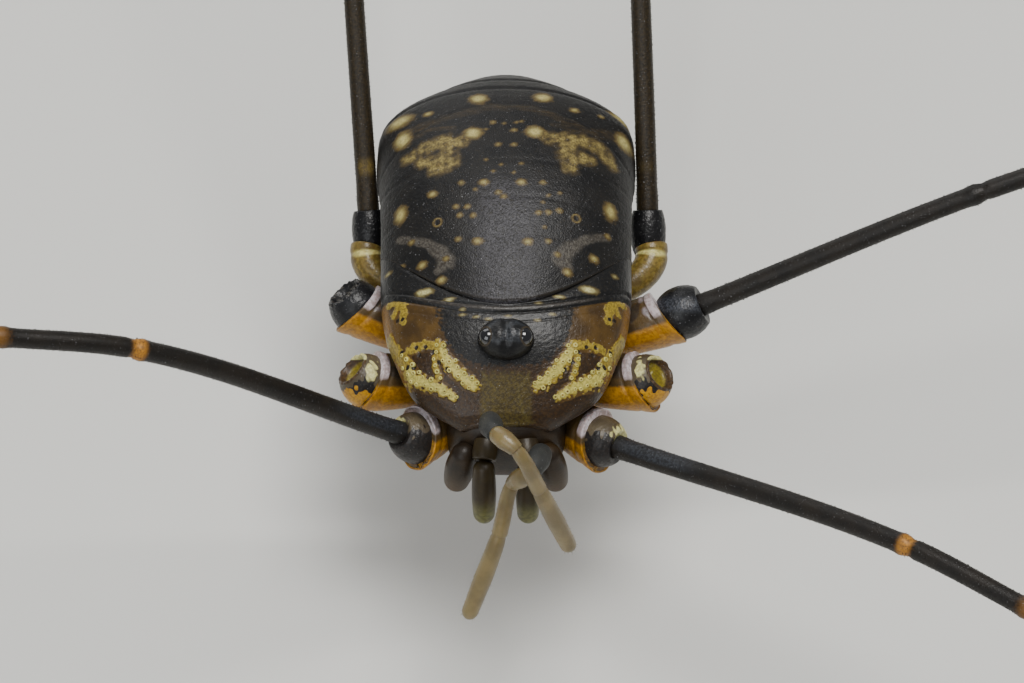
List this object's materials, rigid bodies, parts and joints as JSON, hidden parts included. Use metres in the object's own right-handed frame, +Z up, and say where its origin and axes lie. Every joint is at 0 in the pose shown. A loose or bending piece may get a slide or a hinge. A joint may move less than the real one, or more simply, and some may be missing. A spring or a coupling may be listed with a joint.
{
  "type": "harvestman",
  "caption": "Long-legged harvestman standing, spotted black abdomen, banded brown carapace with an eye mound, crossed palps and open sockets where legs were shed.",
  "frame": {"origin": "on the floor, under the middle of the whole animal's outline", "axes": "+Z up, +X to the animal's left, -Y the way it faces"},
  "size_m": [0.0606, 0.0578, 0.0114],
  "materials": {
    "abdomen": "satin",
    "carapace": "satin",
    "eye_mound": "satin",
    "left_chelicera_base": "satin",
    "left_chelicera_hand": "satin",
    "left_eye": "polished",
    "left_leg_1_coxa": "satin",
    "left_leg_1_femur": "matte",
    "left_leg_1_metatarsus": "matte",
    "left_leg_1_patella": "matte",
    "left_leg_1_tarsus": "matte",
    "left_leg_1_tibia": "matte",
    "left_leg_1_trochanter": "satin",
    "left_leg_2_coxa": "satin",
    "left_leg_2_trochanter": "satin",
    "left_leg_3_coxa": "satin",
    "left_leg_3_femur": "matte",
    "left_leg_3_metatarsus": "matte",
    "left_leg_3_patella": "matte",
    "left_leg_3_tarsus": "matte",
    "left_leg_3_tibia": "matte",
    "left_leg_3_trochanter": "satin",
    "left_leg_4_coxa": "satin",
    "left_leg_4_femur": "matte",
    "left_leg_4_metatarsus": "matte",
    "left_leg_4_patella": "matte",
    "left_leg_4_tarsus": "matte",
    "left_leg_4_tibia": "matte",
    "left_leg_4_trochanter": "satin",
    "left_palp_coxa": "satin",
    "left_palp_femur": "satin",
    "left_palp_patella": "matte",
    "left_palp_tarsus": "matte",
    "left_palp_tibia": "matte",
    "right_chelicera_base": "satin",
    "right_chelicera_hand": "satin",
    "right_eye": "polished",
    "right_leg_1_coxa": "satin",
    "right_leg_1_femur": "matte",
    "right_leg_1_metatarsus": "matte",
    "right_leg_1_patella": "matte",
    "right_leg_1_tarsus": "matte",
    "right_leg_1_tibia": "matte",
    "right_leg_1_trochanter": "satin",
    "right_leg_2_coxa": "satin",
    "right_leg_2_trochanter": "satin",
    "right_leg_3_coxa": "satin",
    "right_leg_3_trochanter": "satin",
    "right_leg_4_coxa": "satin",
    "right_leg_4_femur": "matte",
    "right_leg_4_metatarsus": "matte",
    "right_leg_4_patella": "matte",
    "right_leg_4_tarsus": "matte",
    "right_leg_4_tibia": "matte",
    "right_leg_4_trochanter": "satin",
    "right_palp_coxa": "satin",
    "right_palp_femur": "satin",
    "right_palp_patella": "matte",
    "right_palp_tarsus": "matte",
    "right_palp_tibia": "matte"
  },
  "bodies": {
    "root": {"abdomen": "abdomen", "carapace": "carapace", "eye_mound": "eye_mound", "left_chelicera_base": "left_chelicera_base", "left_chelicera_hand": "left_chelicera_hand", "left_eye": "left_eye", "left_leg_1_coxa": "left_leg_1_coxa", "left_leg_1_femur": "left_leg_1_femur", "left_leg_1_metatarsus": "left_leg_1_metatarsus", "left_leg_1_patella": "left_leg_1_patella", "left_leg_1_tarsus": "left_leg_1_tarsus", "left_leg_1_tibia": "left_leg_1_tibia", "left_leg_1_trochanter": "left_leg_1_trochanter", "left_leg_2_coxa": "left_leg_2_coxa", "left_leg_2_trochanter": "left_leg_2_trochanter", "left_leg_3_coxa": "left_leg_3_coxa", "left_leg_3_femur": "left_leg_3_femur", "left_leg_3_metatarsus": "left_leg_3_metatarsus", "left_leg_3_patella": "left_leg_3_patella", "left_leg_3_tarsus": "left_leg_3_tarsus", "left_leg_3_tibia": "left_leg_3_tibia", "left_leg_3_trochanter": "left_leg_3_trochanter", "left_leg_4_coxa": "left_leg_4_coxa", "left_leg_4_femur": "left_leg_4_femur", "left_leg_4_metatarsus": "left_leg_4_metatarsus", "left_leg_4_patella": "left_leg_4_patella", "left_leg_4_tarsus": "left_leg_4_tarsus", "left_leg_4_tibia": "left_leg_4_tibia", "left_leg_4_trochanter": "left_leg_4_trochanter", "left_palp_coxa": "left_palp_coxa", "left_palp_femur": "left_palp_femur", "left_palp_patella": "left_palp_patella", "left_palp_tarsus": "left_palp_tarsus", "left_palp_tibia": "left_palp_tibia", "right_chelicera_base": "right_chelicera_base", "right_chelicera_hand": "right_chelicera_hand", "right_eye": "right_eye", "right_leg_1_coxa": "right_leg_1_coxa", "right_leg_1_femur": "right_leg_1_femur", "right_leg_1_metatarsus": "right_leg_1_metatarsus", "right_leg_1_patella": "right_leg_1_patella", "right_leg_1_tarsus": "right_leg_1_tarsus", "right_leg_1_tibia": "right_leg_1_tibia", "right_leg_1_trochanter": "right_leg_1_trochanter", "right_leg_2_coxa": "right_leg_2_coxa", "right_leg_2_trochanter": "right_leg_2_trochanter", "right_leg_3_coxa": "right_leg_3_coxa", "right_leg_3_trochanter": "right_leg_3_trochanter", "right_leg_4_coxa": "right_leg_4_coxa", "right_leg_4_femur": "right_leg_4_femur", "right_leg_4_metatarsus": "right_leg_4_metatarsus", "right_leg_4_patella": "right_leg_4_patella", "right_leg_4_tarsus": "right_leg_4_tarsus", "right_leg_4_tibia": "right_leg_4_tibia", "right_leg_4_trochanter": "right_leg_4_trochanter", "right_palp_coxa": "right_palp_coxa", "right_palp_femur": "right_palp_femur", "right_palp_patella": "right_palp_patella", "right_palp_tarsus": "right_palp_tarsus", "right_palp_tibia": "right_palp_tibia"}
  },
  "joints": []
}
